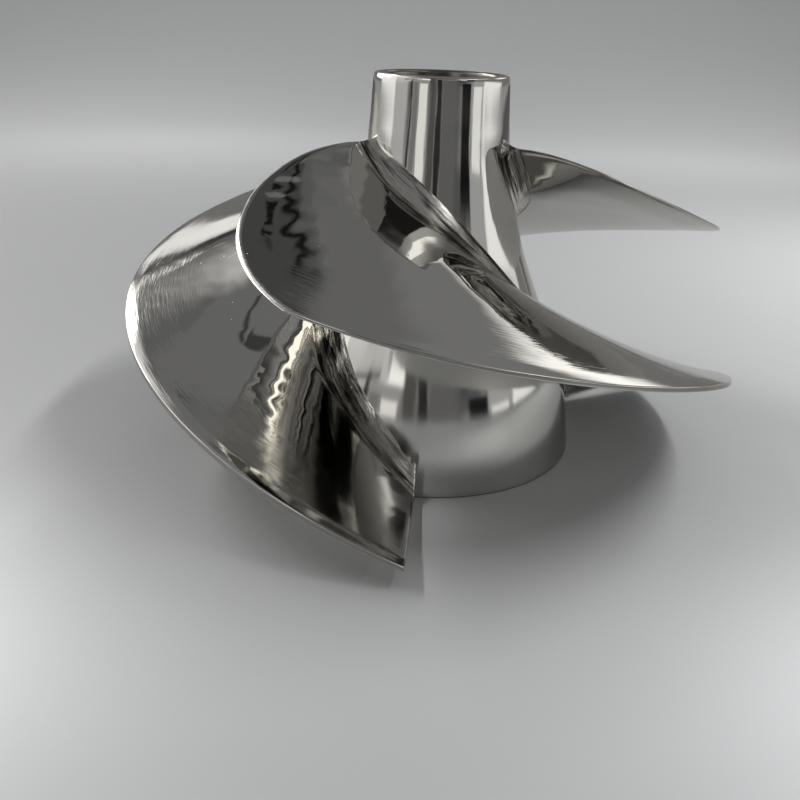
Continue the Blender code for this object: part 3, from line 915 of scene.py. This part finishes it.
def add_surroundings():
    """Grey studio with lamps and cloths all round, which the polished steel mirrors.

    It leaves the floor to the lamps proper.
    """
    world = bpy.data.worlds.new("studio")
    bpy.context.scene.world = world
    world.use_nodes = True
    tree = world.node_tree
    direction = add_node(tree, "ShaderNodeTexCoord").outputs["Generated"]
    axes = add_node(tree, "ShaderNodeSeparateXYZ", {0: direction}).outputs
    turn = add_node(tree, "ShaderNodeMath", {0: axes["Y"], 1: axes["X"]}, operation="ARCTAN2")
    azimuth = add_node(tree, "ShaderNodeMath", {0: turn.outputs[0]}, operation="DEGREES")
    azimuth = add_node(tree, "ShaderNodeMath", {0: azimuth.outputs[0], 1: STUDIO_SEAM + 360, 2: STUDIO_SEAM},
                       operation="WRAP")
    rise = add_node(tree, "ShaderNodeMath", {0: axes["Z"]}, operation="ARCSINE")
    elevation = add_node(tree, "ShaderNodeMath", {0: rise.outputs[0]}, operation="DEGREES")
    looked = add_node(tree, "ShaderNodeCombineXYZ", {"X": azimuth.outputs[0], "Y": elevation.outputs[0]})
    group = card_group()
    colour = (STUDIO_GREY, STUDIO_GREY, STUDIO_GREY, 1.0)
    for middle, height, half_width, half_height, lean, softness, brightness, warmth in STUDIO_CARDS:
        own = NEUTRAL.lerp(WARM, warmth) * brightness
        card = tree.nodes.new("ShaderNodeGroup")
        card.node_tree = group
        tree.links.new(looked.outputs[0], card.inputs["Direction"])
        card.inputs["Middle"].default_value = (middle, height, 0)
        card.inputs["Turn"].default_value = (0, 0, radians(lean))
        card.inputs["Half Size"].default_value = (half_width, half_height, 0)
        card.inputs["Softness"].default_value = softness
        card.inputs["Card Colour"].default_value = (*own, 1.0)
        if isinstance(colour, tuple):
            card.inputs["Colour"].default_value = colour
        else:
            tree.links.new(colour, card.inputs["Colour"])
        colour = card.outputs[0]
    tree.links.new(colour, tree.nodes["Background"].inputs["Color"])
    world.cycles_visibility.diffuse = False


def stage_piece(name, rings, material):
    """A round piece of the stage through the given (radius, height) rings, closed across the first."""
    build = bmesh.new()
    loops = []
    for radius, height in rings:
        angles = [2 * pi * i / SWEEP_SEGMENTS for i in range(SWEEP_SEGMENTS)]
        loops.append([build.verts.new((radius * cos(a), radius * sin(a), height)) for a in angles])
    for inner, outer in zip(loops, loops[1:]):
        for i in range(SWEEP_SEGMENTS):
            j = (i + 1) % SWEEP_SEGMENTS
            build.faces.new((inner[i], outer[i], outer[j], inner[j]))
    build.faces.new(loops[0])
    mesh = bpy.data.meshes.new(name)
    build.to_mesh(mesh)
    build.free()
    mesh.shade_smooth()
    mesh.materials.append(material)
    piece = bpy.data.objects.new(name, mesh)
    bpy.context.scene.collection.objects.link(piece)
    return piece


def add_stage():
    """Pale satin floor, and the sweep laid over it, which only the camera sees."""
    cloths = []
    for name, colour in (("pale_satin_floor", FLOOR_GREY), ("satin_sweep", SWEEP_GREY)):
        cloth = bpy.data.materials.new(name)
        cloth.use_nodes = True
        shader = cloth.node_tree.nodes["Principled BSDF"]
        shader.inputs["Base Color"].default_value = linear(colour)
        shader.inputs["Roughness"].default_value = SATIN_ROUGHNESS
        shader.inputs["Specular IOR Level"].default_value = SATIN_SHINE
        cloths.append(cloth)
    stage_piece("floor", [(STAGE_STEP, 0.0), (SWEEP_START, 0.0), (FLOOR_RADIUS, 0.0)], cloths[0])
    rings = [(SWEEP_START - STAGE_STEP, SWEEP_LIFT)]
    for step in range(SWEEP_STEPS + 1):
        angle = pi / 2 * step / SWEEP_STEPS
        rings.append((SWEEP_START + SWEEP_CURVE * sin(angle), SWEEP_LIFT + SWEEP_CURVE * (1 - cos(angle))))
    rings.append((rings[-1][0], SWEEP_TOP))
    sweep = stage_piece("sweep", rings, cloths[1])
    sweep.visible_glossy = False
    sweep.visible_diffuse = False
    sweep.visible_shadow = False


# Lamps: name, place, place it points at, width, length, spread in degrees and power
LAMPS = (
    ("left_strip", (-0.60, 0.07, 0.857), (0.0, 0.0, 0.0), 0.07, 0.86, 180, 2.30),
    ("right_strip", (0.36, 0.05, 0.66), (0.0, 0.0, 0.0), 0.05, 0.60, 180, 1.68),
    ("roof_lamp", (0.0, 0.0, 0.95), (0.0, 0.0, 0.0), 0.8, 0.8, 180, 1.15),
    ("right_side_lamp", (0.36, 0.18, 0.34), (0.25, 0.16, 0.0), 0.20, 0.30, 60, 0.12),
    ("left_corner_lamp", (-0.105, -0.112, 0.06), (-0.105, -0.112, 0.0), 0.03, 0.03, 180, 0.022),
    ("right_corner_lamp", (0.099, -0.112, 0.06), (0.099, -0.112, 0.0), 0.03, 0.03, 180, 0.020),
    ("left_sweep_lamp", (-0.26, 0.54, 0.30), (-0.26, 0.74, 0.0), 0.12, 0.12, 180, 0.36),
    ("right_sweep_lamp", (0.25, 0.56, 0.30), (0.25, 0.76, 0.0), 0.12, 0.12, 180, 0.36),
    ("far_lamp", (0.0, 0.70, 0.80), (0.0, 1.05, 0.10), 0.30, 0.30, 180, 0.7),
    ("near_lamp", (0.0, -0.40, 0.60), (0.0, -1.30, 0.35), 0.50, 0.30, 180, 3.0),
)


def add_lamps():
    """Soft lamps that light the floor and sweep, without showing in the steel."""
    for name, place, target, width, length, spread, power in LAMPS:
        lamp = bpy.data.lights.new(name, "AREA")
        lamp.shape = "RECTANGLE"
        lamp.size = width
        lamp.size_y = length
        lamp.spread = radians(spread)
        lamp.energy = power
        holder = bpy.data.objects.new(name, lamp)
        aim = Vector(target) - Vector(place)
        across = aim.cross(Vector((0, 1, 0))).normalized()
        along = across.cross(aim).normalized()
        holder.matrix_world = Matrix((across, along, -aim.normalized())).transposed().to_4x4()
        holder.matrix_world.translation = place
        holder.visible_glossy = False
        holder.visible_camera = False
        bpy.context.scene.collection.objects.link(holder)


def main():
    """Casts the impeller and sets up its studio."""
    finishes = [buffed_hub(), buffed_blade(), ground_root(),
                turned_steel("turned_stainless_steel_lands", LAND_STEEL, LAND_ROUGHNESS, LATHE_DEPTH / 2),
                turned_steel("machined_stainless_steel_bores", BORE_STEEL, BORE_ROUGHNESS, LATHE_DEPTH),
                blasted_steel()]
    casting = cast_impeller(finishes)
    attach(casting, "root")
    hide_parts("impeller_casting")
    add_camera()
    add_surroundings()
    add_stage()
    add_lamps()
    bpy.context.scene.view_settings.view_transform = "Standard"


main()
